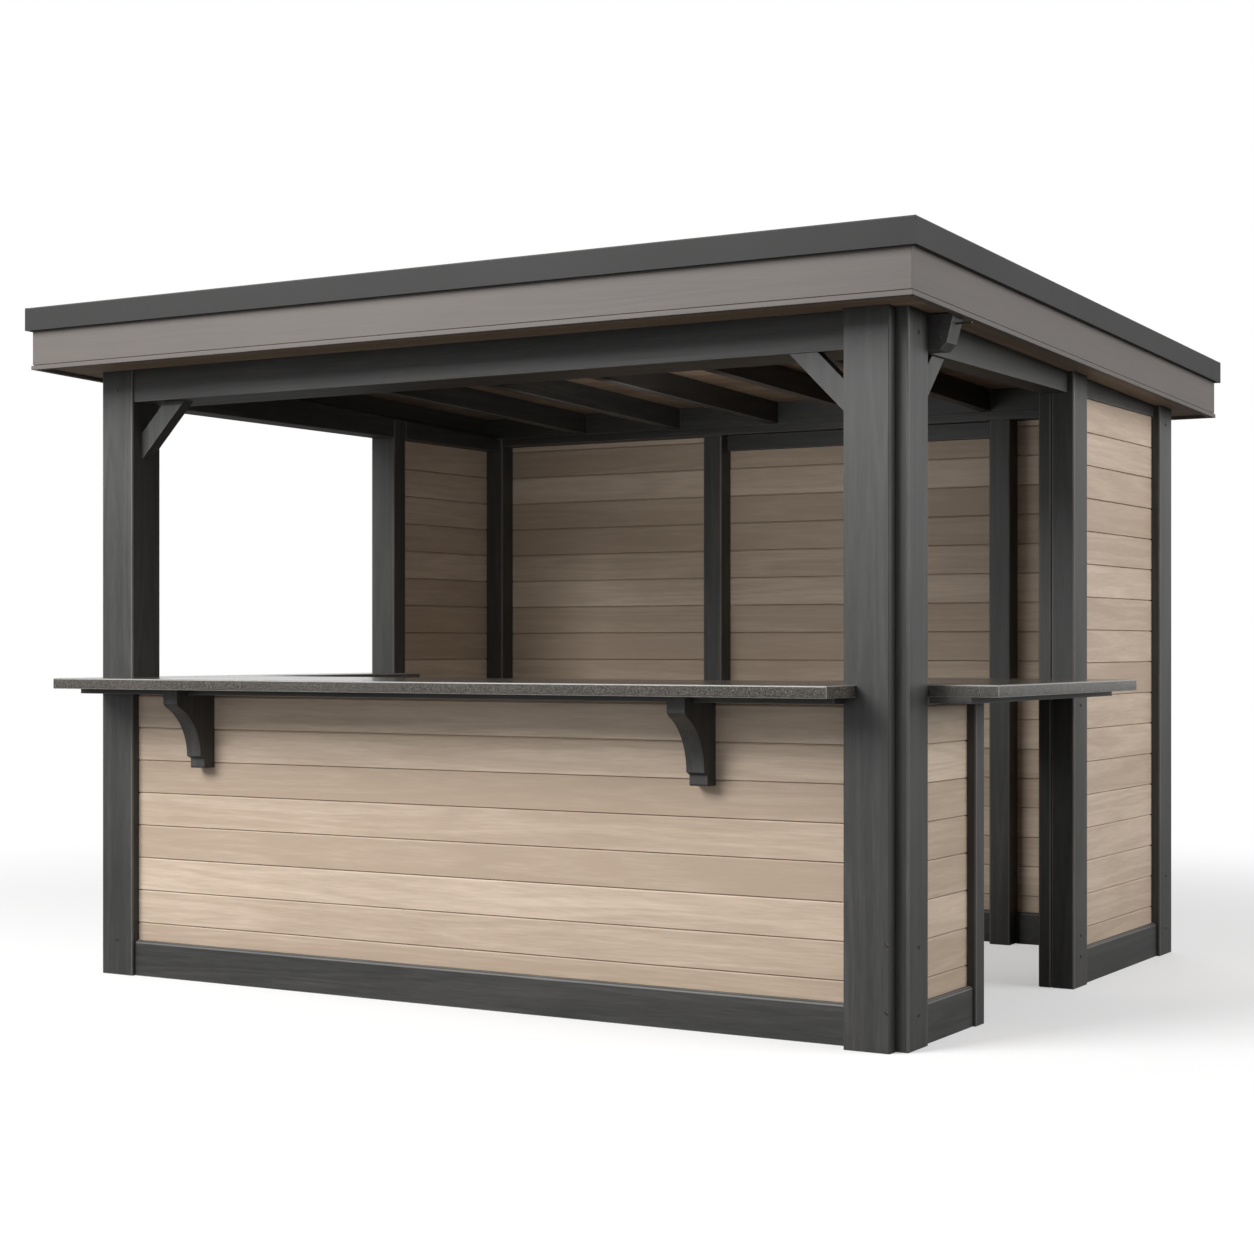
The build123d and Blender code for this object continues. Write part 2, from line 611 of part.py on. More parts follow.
# Soffit boards under the overhang, a little above the foot of the fascia
front_soffit = sloped_bar(soffit_left, soffit_right, -soffit_end, COVER_FRONT, soffit, seat)
front_soffit += sloped_bar(soffit_left, COVER_LEFT, COVER_FRONT, FRONT_FACE, soffit, seat)
front_soffit += sloped_bar(COVER_RIGHT, soffit_right, COVER_FRONT, FRONT_FACE, soffit, seat)
front_soffit += sloped_bar(LEFT_POST_INSIDE, COVER_LEFT, FRONT_FACE, front_beam_face, soffit, seat)
rear_soffit = sloped_bar(soffit_left, soffit_right, REAR_FACE, soffit_end, soffit, seat)
save("front_and_rear_soffit", front_soffit, rear_soffit)
left_soffit = sloped_bar(soffit_left, LEFT_FACE, FRONT_FACE, REAR_FACE, soffit, seat)
left_soffit += sloped_bar(LEFT_FACE, left_beam_face, TIE_BEAM_BACK, LEFT_MID_POST_FRONT, soffit, seat)
left_soffit += sloped_bar(LEFT_FACE, left_beam_face, LEFT_MID_POST_BACK, REAR_POST_FRONT, soffit, seat)
right_soffit = sloped_bar(RIGHT_FACE, soffit_right, FRONT_FACE, REAR_FACE, soffit, seat)
right_soffit += sloped_bar(right_beam_face, RIGHT_FACE, TIE_BEAM_BACK, DOOR_POST_FRONT, soffit, seat)
right_soffit += sloped_bar(right_beam_face, RIGHT_FACE, DOOR_POST_BACK, REAR_POST_FRONT, soffit, seat)
save("side_soffit", left_soffit, right_soffit)


# Fascia and edge trim, mitred at the corners
def fascia_profile():
    """Outline of the fascia as (outward, up) pairs, from the inner foot, with its bead and groove."""
    out = FASCIA_THICKNESS
    bead = out + FASCIA_BEAD_PROUD
    groove_top = FASCIA_BEAD + FASCIA_GROOVE
    return [
        (0, 0),
        (bead, 0),
        (bead, FASCIA_BEAD),
        (out - FASCIA_GROOVE, FASCIA_BEAD),
        (out - FASCIA_GROOVE, groove_top),
        (out, groove_top),
        (out, FASCIA_HEIGHT),
        (0, FASCIA_HEIGHT),
    ]


def trim_profile():
    """Outline of the edge trim: an upright face and a cap over the fascia."""
    out = FASCIA_THICKNESS
    face = out + TRIM_THICKNESS
    foot = FASCIA_SHOWING
    top = foot + TRIM_HEIGHT
    return [
        (out, foot),
        (face, foot),
        (face, top - TRIM_EDGE),
        (face - TRIM_EDGE, top),
        (face - TRIM_CAP_WIDTH, top),
        (face - TRIM_CAP_WIDTH, FASCIA_HEIGHT),
        (out, FASCIA_HEIGHT),
    ]


def mitre(half_run, inner_face, outward_y):
    """A tall wedge in plan that keeps a mitred edge piece, as a cutting shape."""
    reach = CUT_MARGIN / 2
    near = inner_face - reach
    far = inner_face + reach
    points = [
        (-half_run + reach, near),
        (half_run - reach, near),
        (half_run + reach, far),
        (-half_run - reach, far),
    ]
    if outward_y:
        flat = [(x, y, 0) for x, y in points]
    else:
        flat = [(y, x, 0) for x, y in points]
    return extrude(make_face(Polyline(*flat, close=True)), amount=RAFTER_SEAT + CUT_MARGIN, dir=(0, 0, 1))


def edge_along_x(profile, end):
    """Front (end = -1) or rear (end = 1) edge piece."""
    inner = end * soffit_end
    foot = soffit(inner) - FASCIA_DROP
    run = ROOF_RIGHT + CUT_MARGIN
    outline = [(-run, inner + end * out, foot + up) for out, up in profile]
    piece = extrude(make_face(Polyline(*outline, close=True)), amount=2 * run, dir=(1, 0, 0))
    wedge = mitre(soffit_half, soffit_end, True)
    if end < 0:
        wedge = mirror(wedge, Plane.XZ)
    return piece & Pos(soffit_middle, 0, 0) * wedge


def edge_along_y(profile, end):
    """Left (end = -1) or right (end = 1) edge piece, which follows the fall of the roof."""
    inner = soffit_middle + end * soffit_half
    run = ROOF_BACK + CUT_MARGIN
    foot = soffit(-run) - FASCIA_DROP
    outline = [(inner + end * out, -run, foot + up) for out, up in profile]
    length = 2 * run * math.hypot(1, FALL)
    piece = extrude(make_face(Polyline(*outline, close=True)), amount=length, dir=(0, 1, -FALL))
    wedge = mitre(soffit_end, soffit_half, False)
    if end < 0:
        wedge = mirror(wedge, Plane.YZ)
    return piece & Pos(soffit_middle, 0, 0) * wedge


save("front_and_rear_fascia", edge_along_x(fascia_profile(), -1), edge_along_x(fascia_profile(), 1))
save("side_fascia", edge_along_y(fascia_profile(), -1), edge_along_y(fascia_profile(), 1))
save("front_and_rear_trim", edge_along_x(trim_profile(), -1), edge_along_x(trim_profile(), 1))
save("side_trim", edge_along_y(trim_profile(), -1), edge_along_y(trim_profile(), 1))
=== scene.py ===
# %% [markdown]
# # Bar pavilion
# The object is a small timber bar for a garden: dark stained posts and beams, walls of pale boards,
# counters on three sides and a flat roof that falls gently to the back. The CAD model gives every
# rigid part in its place. This script dresses it: it turns the plain walls and ceilings into boards,
# takes the sharpness off the arrises, adds screws, and gives each surface its finish.

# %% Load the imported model
import math
import random

import bmesh
import bpy
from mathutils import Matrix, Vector


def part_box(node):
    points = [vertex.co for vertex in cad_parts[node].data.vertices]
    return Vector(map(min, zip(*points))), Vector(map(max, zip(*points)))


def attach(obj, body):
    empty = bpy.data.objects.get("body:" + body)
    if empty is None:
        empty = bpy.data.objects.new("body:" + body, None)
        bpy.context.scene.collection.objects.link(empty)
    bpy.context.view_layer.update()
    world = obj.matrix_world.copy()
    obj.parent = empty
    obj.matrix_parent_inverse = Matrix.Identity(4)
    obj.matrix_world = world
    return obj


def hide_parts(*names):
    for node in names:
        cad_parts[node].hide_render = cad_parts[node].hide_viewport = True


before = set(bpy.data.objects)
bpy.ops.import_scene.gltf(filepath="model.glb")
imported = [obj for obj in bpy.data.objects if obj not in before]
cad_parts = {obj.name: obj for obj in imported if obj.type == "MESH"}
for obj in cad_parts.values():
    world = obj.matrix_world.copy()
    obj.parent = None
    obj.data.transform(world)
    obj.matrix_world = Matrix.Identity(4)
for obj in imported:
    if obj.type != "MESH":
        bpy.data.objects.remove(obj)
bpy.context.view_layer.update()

print("nodes:", len(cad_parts))

# %% [markdown]
# ## Mesh helpers
# Nearly every added piece is a straight bar with a shaped cross-section: a board, a batten, a strip of
# roofing. One function that sweeps a profile between two ends makes all of them. It is simpler than a
# curve with a bevel object, and it gives clean ends.

# %% Profiles swept into bars
ALONG_X = 0
ALONG_Y = 1
ALONG_Z = 2


def prism(mesh, profile, start, stop, place, tint=0.0):
    """Sweep a closed profile of (across, up) points from start to stop.

    place(run, across, up) gives the point in the object's frame.
    """
    layer = mesh.faces.layers.float.get("tint") or mesh.faces.layers.float.new("tint")
    near = [mesh.verts.new(place(start, across, up)) for across, up in profile]
    far = [mesh.verts.new(place(stop, across, up)) for across, up in profile]
    faces = [mesh.faces.new(near), mesh.faces.new(far)]
    for index in range(len(profile)):
        after = (index + 1) % len(profile)
        faces.append(mesh.faces.new((near[index], near[after], far[after], far[index])))
    for face in faces:
        face[layer] = tint
    return faces


def make_piece(name, build, finish, stands_for=()):
    """Run build(mesh) on an empty mesh and put the result on the object's body."""
    mesh = bmesh.new()
    build(mesh)
    bmesh.ops.recalc_face_normals(mesh, faces=mesh.faces)
    data = bpy.data.meshes.new(name)
    mesh.to_mesh(data)
    mesh.free()
    piece = bpy.data.objects.new(name, data)
    bpy.context.scene.collection.objects.link(piece)
    data.materials.append(finish)
    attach(piece, "root")
    if stands_for:
        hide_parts(*stands_for)
    print(name, "faces:", len(data.polygons))
    return piece


# %% [markdown]
# ## Shader helpers
# Grain, wear and speckle are formulas over the position of a point on the surface. Writing them with
# nodes one at a time is slow to read, so a small class wraps a socket and lets ordinary arithmetic add
# the Math nodes.

# %% Arithmetic on shader sockets


class Value:
    """A number at every point of a surface, held by a socket."""

    def __init__(self, finish, socket):
        self.finish = finish
        self.socket = socket

    def math(self, operation, first, second=None):
        inputs = {0: first}
        if second is not None:
            inputs[1] = second
        node = self.finish.add("ShaderNodeMath", {"operation": operation}, inputs)
        return Value(self.finish, node.outputs[0])

    def __add__(self, other):
        return self.math("ADD", self, other)

    def __radd__(self, other):
        return self.math("ADD", other, self)

    def __sub__(self, other):
        return self.math("SUBTRACT", self, other)

    def __rsub__(self, other):
        return self.math("SUBTRACT", other, self)

    def __mul__(self, other):
        return self.math("MULTIPLY", self, other)

    def __rmul__(self, other):
        return self.math("MULTIPLY", other, self)

    def sine(self):
        return self.math("SINE", self)

    def between(self, low, high):
        """0 below low, 1 above high, smooth between."""
        settings = {"interpolation_type": "SMOOTHSTEP"}
        inputs = {"Value": self, "From Min": low, "From Max": high}
        node = self.finish.add("ShaderNodeMapRange", settings, inputs)
        return Value(self.finish, node.outputs["Result"])


class Finish:
    """A material whose nodes are added one call at a time."""

    def __init__(self, name):
        self.material = bpy.data.materials.new(name)
        self.material.use_nodes = True
        self.tree = self.material.node_tree
        self.surface = self.tree.nodes["Principled BSDF"]

    def add(self, kind, settings=None, inputs=None):
        """Add a node: its settings first, then a value or a link for each named input."""
        node = self.tree.nodes.new(kind)
        for name, setting in (settings or {}).items():
            setattr(node, name, setting)
        for name, given in (inputs or {}).items():
            self.connect(node.inputs[name], given)
        return node

    def connect(self, socket, given):
        if isinstance(given, Value):
            given = given.socket
        if isinstance(given, bpy.types.NodeSocket):
            self.tree.links.new(given, socket)
        else:
            socket.default_value = given

    def position(self, scale=(1.0, 1.0, 1.0), shift=(0.0, 0.0, 0.0)):
        """Where the point is on the object, stretched by scale and moved by a shift."""
        place = self.add("ShaderNodeTexCoord").outputs["Object"]
        moved = self.add("ShaderNodeVectorMath", {"operation": "ADD"}, {0: place, 1: shift}).outputs[0]
        return self.add("ShaderNodeVectorMath", {"operation": "MULTIPLY"}, {0: moved, 1: scale}).outputs[0]

    def noise(self, place, scale, detail=2.0, roughness=0.5):
        inputs = {"Vector": place, "Scale": scale, "Detail": detail, "Roughness": roughness}
        return Value(self, self.add("ShaderNodeTexNoise", inputs=inputs).outputs["Fac"])

    def tint(self):
        """The number that each board carries, so that no two boards match."""
        node = self.add("ShaderNodeAttribute", {"attribute_name": "tint"})
        return Value(self, node.outputs["Fac"])

    def mix(self, factor, first, second):
        """A colour between two colours."""
        node = self.add("ShaderNodeMix", {"data_type": "RGBA"}, {"Factor": factor})
        colours_in = [socket for socket in node.inputs if socket.type == "RGBA"]
        self.connect(colours_in[0], first)
        self.connect(colours_in[1], second)
        return next(socket for socket in node.outputs if socket.type == "RGBA")

    def bump(self, height, distance, strength=1.0):
        """Small relief from a height between 0 and 1, distance metres deep."""
        inputs = {"Height": height, "Distance": distance, "Strength": strength}
        self.set("Normal", self.add("ShaderNodeBump", inputs=inputs).outputs["Normal"])

    def set(self, name, given):
        self.connect(self.surface.inputs[name], given)


def colour(red, green, blue):
    """A colour given as it looks on a screen, 0 to 255, turned into light."""
    return tuple(((part / 255 + 0.055) / 1.055) ** 2.4 for part in (red, green, blue)) + (1.0,)


# %% [markdown]
# ## Wood
# All the timber is planed softwood with a stain. Stained wood shows its fibres as fine streaks along the
# board, broad bands of growth rings, and a slight unevenness where it drank more stain. The streaks come
# from noise that is stretched along the grain, so each finish needs to know which way its grain runs.
# Each board carries a number that moves it to another place in the noise, as if it came from another
# tree.

# %% Stained wood in any direction
GRAIN_STRETCH = 16.0
BOARD_SHIFT = 37.0
CLOUD_SCALE = 1.7
BROAD_SCALE = 9.0
FIBRE_SCALE = 150.0
RING_COUNT = 46.0
FIBRE_SHARE = 0.42
RING_SHARE = 0.22
BROAD_SHARE = 0.3
CLOUD_SHARE = 0.25
TINT_SHARE = 0.16
DARKENING = 0.2
DARK_END = 0.1
LIGHT_END = 0.85
SHEEN_SPREAD = 0.16
STREAK_DEPTH = 0.0004


def wood(name, along, dark, light, roughness, rings=0.5):
    """Stained wood with its grain along one axis; dark and light are the two ends of its colour."""
    finish = Finish(name)
    scale = [1.0, 1.0, 1.0]
    scale[along] = 1.0 / GRAIN_STRETCH
    tint = finish.tint()
    moves = {axis: tint * BOARD_SHIFT for axis in "XYZ"}
    shift = finish.add("ShaderNodeCombineXYZ", inputs=moves).outputs[0]
    grain = finish.position(scale, shift)
    cloud = finish.noise(finish.position(shift=shift), CLOUD_SCALE)
    broad = finish.noise(grain, BROAD_SCALE)
    fibres = finish.noise(grain, FIBRE_SCALE, 5.0, 0.6)
    bands = (broad * RING_COUNT).sine() * 0.5 + 0.5
    mixed = (
        fibres * FIBRE_SHARE + bands * (RING_SHARE * rings) + broad * BROAD_SHARE
        + cloud * CLOUD_SHARE + tint * TINT_SHARE - DARKENING
    )
    finish.set("Base Color", finish.mix(mixed.between(DARK_END, LIGHT_END), dark, light))
    finish.set("Roughness", roughness + fibres * SHEEN_SPREAD - SHEEN_SPREAD / 2)
    finish.bump(fibres * 0.7 + bands * 0.3, STREAK_DEPTH)
    return finish.material


print("streaks are stretched along the grain by", GRAIN_STRETCH)


# %% [markdown]
# ## The finishes
# The dark timber has an anthracite stain, and a paler copy of it on the rounded arrises is a painted
# highlight. The walls are beige, the soffit is brown and the fascia taupe, under a paint that hides most
# of the rings. One finish is made for each direction of the grain.

# %% Dark timber, wall boards, soffit and fascia
STAIN_DARK = colour(38, 38, 37)
STAIN_LIGHT = colour(79, 78, 76)
# painted highlight: the paler colours that the rounded arrises of the timber take
ARRIS_HIGHLIGHT_DARK = colour(72, 71, 69)
ARRIS_HIGHLIGHT_LIGHT = colour(124, 121, 116)
BOARD_DARK = colour(174, 154, 134)
BOARD_LIGHT = colour(221, 202, 182)
SOFFIT_DARK = colour(118, 98, 80)
SOFFIT_LIGHT = colour(152, 130, 108)
TAUPE_DARK = colour(88, 82, 78)
TAUPE_LIGHT = colour(106, 99, 93)
TIMBER_ROUGHNESS = 0.5
ARRIS_HIGHLIGHT_ROUGHNESS = 0.55
BOARD_ROUGHNESS = 0.6
SOFFIT_ROUGHNESS = 0.62
PAINT_ROUGHNESS = 0.6
PAINTED_RINGS = 0.2

dark_timber = {}
timber_arris_highlight = {}
wall_wood = {}
soffit_wood = {}
fascia_wood = {}
for along, letter in ((ALONG_X, "x"), (ALONG_Y, "y"), (ALONG_Z, "z")):
    dark_timber[along] = wood(f"dark_timber_{letter}", along, STAIN_DARK, STAIN_LIGHT, TIMBER_ROUGHNESS)
    # painted highlight: a paler copy of each stain for the rounded arrises
    timber_arris_highlight[along] = wood(f"timber_arris_highlight_{letter}", along, ARRIS_HIGHLIGHT_DARK, ARRIS_HIGHLIGHT_LIGHT, ARRIS_HIGHLIGHT_ROUGHNESS)
for along, letter in ((ALONG_X, "x"), (ALONG_Y, "y")):
    wall_wood[along] = wood(f"wall_boards_{letter}", along, BOARD_DARK, BOARD_LIGHT, BOARD_ROUGHNESS)
    soffit_wood[along] = wood(
        f"soffit_boards_{letter}", along, SOFFIT_DARK, SOFFIT_LIGHT, SOFFIT_ROUGHNESS,
    )
    fascia_wood[along] = wood(
        f"fascia_paint_{letter}", along, TAUPE_DARK, TAUPE_LIGHT, PAINT_ROUGHNESS, PAINTED_RINGS,
    )
print("wood finishes:", len(bpy.data.materials))

# %% [markdown]
# ## Counter laminate
# The counters are slabs with a dark speckled laminate, sealed and shiny on top. A photograph of the
# speckle would show its repeats, so it is two sizes of noise here, cut hard so that it reads as grains.
# The arris takes a paler finish, a painted highlight.

# %% The counters' two finishes
COARSE_GRAIN_SCALE = 260.0
FINE_GRAIN_SCALE = 620.0
GRAIN_DEPTH = 0.00015
TOP_ROUGHNESS = 0.17
COUNTER_ARRIS_ROUGHNESS = 0.3


def counter_finish(name, dark, light, roughness):
    """A speckled slab; the speckle gives its colour and a very fine relief."""
    finish = Finish(name)
    place = finish.position()
    coarse = finish.noise(place, COARSE_GRAIN_SCALE)
    fine = finish.noise(place, FINE_GRAIN_SCALE)
    cloud = finish.noise(place, 3.0, 3.0)
    grains = coarse.between(0.46, 0.6) * 0.5 + fine.between(0.5, 0.62) * 0.5
    finish.set("Base Color", finish.mix(grains * 0.85 + cloud * 0.15, dark, light))
    finish.set("Roughness", roughness + cloud * 0.12 - 0.06)
    finish.bump(grains, GRAIN_DEPTH)
    return finish.material


counter_top = counter_finish("counter_top", colour(32, 31, 30), colour(118, 112, 104), TOP_ROUGHNESS)
# painted highlight: the paler finish on the counters' rounded arrises
counter_arris_highlight = counter_finish(
    "counter_arris_highlight", colour(120, 118, 114), colour(170, 167, 162), COUNTER_ARRIS_ROUGHNESS,
)
print("counter finishes:", counter_top.name, counter_arris_highlight.name)

# %% [markdown]
# ## Metal trim
# The trim on the roof's edge is coated metal. A coat of powder dries nearly even, so its colour hardly
# changes, and what gives it away is the gloss, which is a little uneven and never mirror-like. The
# rounded arrises take a paler copy of the coat, a painted highlight.

# %% The trim's two finishes
GRIT_SCALE = 900.0
GRIT_DEPTH = 0.00006
COAT_ROUGHNESS = 0.6
COAT_REFLECTION = 0.25


def coated_metal(name, dark, light):
    """Powder-coated metal with a faint unevenness in its gloss."""
    finish = Finish(name)
    place = finish.position()
    cloud = finish.noise(place, 2.4, 3.0)
    grit = finish.noise(place, GRIT_SCALE)
    finish.set("Base Color", finish.mix(cloud * 0.8 + grit * 0.2, dark, light))
    finish.set("Roughness", COAT_ROUGHNESS + cloud * 0.14 - 0.07)
    finish.set("Specular IOR Level", COAT_REFLECTION)
    finish.bump(grit, GRIT_DEPTH)
    return finish.material


trim_metal = coated_metal("edge_trim", colour(38, 38, 38), colour(45, 45, 44))
# painted highlight: a paler copy of the coat for the trim's rounded arrises
trim_arris_highlight = coated_metal("edge_trim_arris", colour(64, 64, 64), colour(76, 76, 75))
print("trim finishes:", trim_metal.name, trim_arris_highlight.name)

# %% [markdown]
# ## Roofing sheet and screws
# The roofing sheet is matt rubber with dust that gathers in patches. The screws are steel with a dark
# coat that is worn off in places, so each point is either coat or bare metal, with little between.

# %% Rubber and steel
RUBBER_DARK = colour(34, 34, 35)
RUBBER_DUSTY = colour(66, 65, 63)
SHEET_RELIEF = 0.0008
SHEET_ROUGHNESS = 0.72
COATED_STEEL = colour(30, 30, 31)
BARE_STEEL = colour(92, 90, 86)
STEEL_ROUGHNESS = 0.42


def rubber_sheet(name):
    """Matt roofing with patches of dust."""
    finish = Finish(name)
    place = finish.position()
    dust = finish.noise(place, 2.2, 5.0, 0.6)
    grit = finish.noise(place, 420.0, 3.0)
    finish.set("Base Color", finish.mix(dust.between(0.35, 0.8), RUBBER_DARK, RUBBER_DUSTY))
    finish.set("Roughness", SHEET_ROUGHNESS + grit * 0.2 - 0.1)
    finish.bump(grit * 0.5 + dust * 0.5, SHEET_RELIEF)
    return finish.material


def screw_steel(name):
    """Steel whose dark coat is partly worn off."""
    finish = Finish(name)
    wear = finish.noise(finish.position(), 300.0, 3.0)
    finish.set("Base Color", finish.mix(wear, COATED_STEEL, BARE_STEEL))
    finish.set("Metallic", wear.between(0.35, 0.6) * 0.8)
    finish.set("Roughness", STEEL_ROUGHNESS + wear * 0.2 - 0.1)
    return finish.material


roof_rubber = rubber_sheet("roof_sheet")
steel = screw_steel("screw_steel")
print("finishes in all:", len(bpy.data.materials))

# %% [markdown]
# ## Dark timber
# The posts, beams, rafters and rails are right as the CAD model has them. Real planed timber never has a
# knife-sharp arris, so each gets a small rounding as a modifier, which leaves the mesh alone. The faces
# of the rounding take a paler finish, a painted highlight along each arris.

# %% Soften the arrises and stain the timber
TIMBER_ARRIS = 0.003
WELD_REACH = 0.00005
ROUNDING_STEPS = 2
SHARPEST_KEPT = math.radians(25)


def soften(node, radius, finish, arris_finish):
    """Weld the imported faces together, round their edges and set the two finishes."""
    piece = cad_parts[node]
    weld = piece.modifiers.new("weld", "WELD")
    weld.merge_threshold = WELD_REACH
    rounding = piece.modifiers.new("arris", "BEVEL")
    rounding.width = radius
    rounding.segments = ROUNDING_STEPS
    rounding.limit_method = "ANGLE"
    rounding.angle_limit = SHARPEST_KEPT
    rounding.material = 1
    smooth = piece.modifiers.new("normals", "WEIGHTED_NORMAL")
    smooth.keep_sharp = False
    piece.data.materials.clear()
    piece.data.materials.append(finish)
    piece.data.materials.append(arris_finish)
    for face in piece.data.polygons:
        face.material_index = 0


upright_timber = (
    "front_left_post", "front_right_post", "rear_left_post", "rear_right_post", "door_post",
    "door_jamb", "left_mid_post", "doorway_stile", "corner_cover_boards", "rear_mid_posts",
    "counter_corbels", "front_knee_braces", "side_knee_brace",
)
crosswise_timber = (
    "front_beam", "front_tie_beam", "rear_wall_plate", "rear_head_rail", "front_base_board",
    "rear_base_board", "front_counter_rails", "rafter_blocking",
)
lengthwise_timber = (
    "side_beams", "left_base_boards", "right_base_boards", "right_counter_rail", "rafters",
    "side_joists", "inner_base_boards",
)
timber_groups = (
    (upright_timber, ALONG_Z), (crosswise_timber, ALONG_X), (lengthwise_timber, ALONG_Y),
)
for group, along in timber_groups:
    for node in group:
        soften(node, TIMBER_ARRIS, dark_timber[along], timber_arris_highlight[along])
print("timber nodes:", sum(len(group) for group, along in timber_groups))

# %% [markdown]
# ## Counters, fascia, trim and sheet
# These nodes are kept too. A counter slab has a crisp arris that catches the light, so its rounding is
# small and its pale finish is a painted highlight. The fascia and the trim run round all four sides, and
# the fascia's grain follows each board's length. The trim's rounding takes a paler finish, also a painted
# highlight. The sheet lies flat between them and needs no rounding.

# %% Finish the counters and the roof edge
COUNTER_ARRIS = 0.0018
TRIM_ARRIS = 0.0012
FASCIA_ARRIS = 0.001
for node in ("front_counter", "right_counter", "left_counter"):
    soften(node, COUNTER_ARRIS, counter_top, counter_arris_highlight)
for node, along in (("front_and_rear_fascia", ALONG_X), ("side_fascia", ALONG_Y)):
    soften(node, FASCIA_ARRIS, fascia_wood[along], fascia_wood[along])
for node in ("front_and_rear_trim", "side_trim"):
    soften(node, TRIM_ARRIS, trim_metal, trim_arris_highlight)
roof_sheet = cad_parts["roof_sheet"]
roof_sheet.data.materials.clear()
roof_sheet.data.materials.append(roof_rubber)
print("nodes that keep their CAD shape have their finishes")

# %% [markdown]
# ## Wall boards
# The walls are single boards on edge, one above the other, with a V where two boards meet. A relief in
# the finish would look flat from the side, so each board is swept from a cross-section. Its four long
# arrises are planed off, and it stays a hair away from the next one, so that the slit between them
# reads as a dark line. A board's upper edge is planed more than its lower one, so a bright edge lies
# below that line. The lowest joint is hidden by the base board.

# %% Boards in place of the wall panels
BOARD_HEIGHT = 0.12
FIRST_JOINT = 0.0745
UPPER_LIP = 0.0055
LOWER_LIP = 0.0025
GROOVE_DEPTH = 0.004
SLIT_DEPTH = 0.011
SLIT_HALF = 0.0009
BOARD_UNEVENNESS = 0.0007


def board_profile(thickness, low, high, first, last):
    """The section of one board; the lowest and the highest board keep a square edge where they end."""
    points = []
    for side, sign in ((0.0, 1.0), (thickness, -1.0)):
        slit = side + sign * SLIT_DEPTH
        bevel = side + sign * GROOVE_DEPTH
        lower = [(side, low)] if first else [
            (slit, low), (slit, low + SLIT_HALF), (bevel, low + SLIT_HALF), (side, low + LOWER_LIP),
        ]
        upper = [(side, high)] if last else [
            (side, high - UPPER_LIP), (bevel, high - SLIT_HALF), (slit, high - SLIT_HALF), (slit, high),
        ]
        edge = lower + upper
        points += edge if sign < 0 else edge[::-1]
    return points


def wall_of_boards(node, along, seed):
    """A wall of level boards that fills the box of a wall node."""
    low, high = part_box(node)
    across = ALONG_Y if along == ALONG_X else ALONG_X
    thickness = high[across] - low[across]
    joints = [low.z]
    joint = FIRST_JOINT
    while joint < high.z - LOWER_LIP - UPPER_LIP:
        joints.append(joint)
        joint += BOARD_HEIGHT
    joints.append(high.z)
    chance = random.Random(seed)

    def build(mesh):
        for index in range(len(joints) - 1):
            slip = chance.uniform(0, BOARD_UNEVENNESS)
            profile = board_profile(
                thickness - BOARD_UNEVENNESS, joints[index], joints[index + 1],
                index == 0, index == len(joints) - 2,
            )

            def place(run, side, up):
                point = Vector((0, 0, up))
                point[along] = run
                point[across] = low[across] + slip + side
                return point

            prism(mesh, profile, low[along], high[along], place, chance.uniform(-1, 1))

    return make_piece(f"{node}_boards", build, wall_wood[along], (node,))


walls = (
    ("front_low_wall", ALONG_X), ("rear_wall", ALONG_X), ("left_low_wall", ALONG_Y),
    ("right_low_wall", ALONG_Y), ("left_rear_wall", ALONG_Y), ("right_rear_wall", ALONG_Y),
)
for seed, (node, along) in enumerate(walls, start=1):
    wall_of_boards(node, along, seed)

# %% [markdown]
# ## Roof boards
# The roof boards show between the rafters. They are thin boards side by side with a V at each joint. They
# follow the fall of the roof, so a board is placed at a height that drops towards the back. The fall is
# measured from the roof sheet's own box.

# %% Boards under the sheet
sheet_low, sheet_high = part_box("roof_sheet")
deck_low, deck_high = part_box("roof_deck")
SHEET_THICKNESS = 0.004
roof_run = sheet_high.y - sheet_low.y
FALL = (sheet_high.z - sheet_low.z - SHEET_THICKNESS) / roof_run
print("fall of the roof in degrees:", round(math.degrees(math.atan(FALL)), 2))
ROOF_BOARD_WIDTH = 0.12
ROOF_JOINT = 0.003
ROOF_SEED = 21
deck_thickness = deck_high.z - deck_low.z - FALL * (deck_high.y - deck_low.y)


def falling(height_at_front, y):
    """The height at y of a surface that falls with the roof."""
    return height_at_front - FALL * (y - deck_low.y)


def thin_board_profile(near, far, thickness):
    """A thin board's section as (across, up), with the two lower arrises planed off."""
    return [
        (near + ROOF_JOINT, 0.0), (far - ROOF_JOINT, 0.0), (far, ROOF_JOINT),
        (far, thickness), (near, thickness), (near, ROOF_JOINT),
    ]


def roof_boards(mesh):
    """Boards across the roof, under the sheet."""
    chance = random.Random(ROOF_SEED)
    underside = deck_high.z - deck_thickness
    near = deck_low.y
    while near < deck_high.y - ROOF_JOINT * 2:
        far = min(near + ROOF_BOARD_WIDTH, deck_high.y)

        def place(run, side, up):
            return Vector((run, side, falling(underside, side) + up))

        profile = thin_board_profile(near, far, deck_thickness)
        prism(mesh, profile, deck_low.x, deck_high.x, place, chance.uniform(-1, 1))
        near = far


make_piece("roof_deck_boards", roof_boards, soffit_wood[ALONG_X], ("roof_deck",))

# %% [markdown]
# ## Soffit boards
# The soffit closes the overhang from below. Its boards run along the front and the back and, between
# those, along the sides. They stop at the posts and the beams, so their ends come from the boxes of those
# nodes. The side beams are set back from the posts' outer faces, and a narrow strip fills the step.

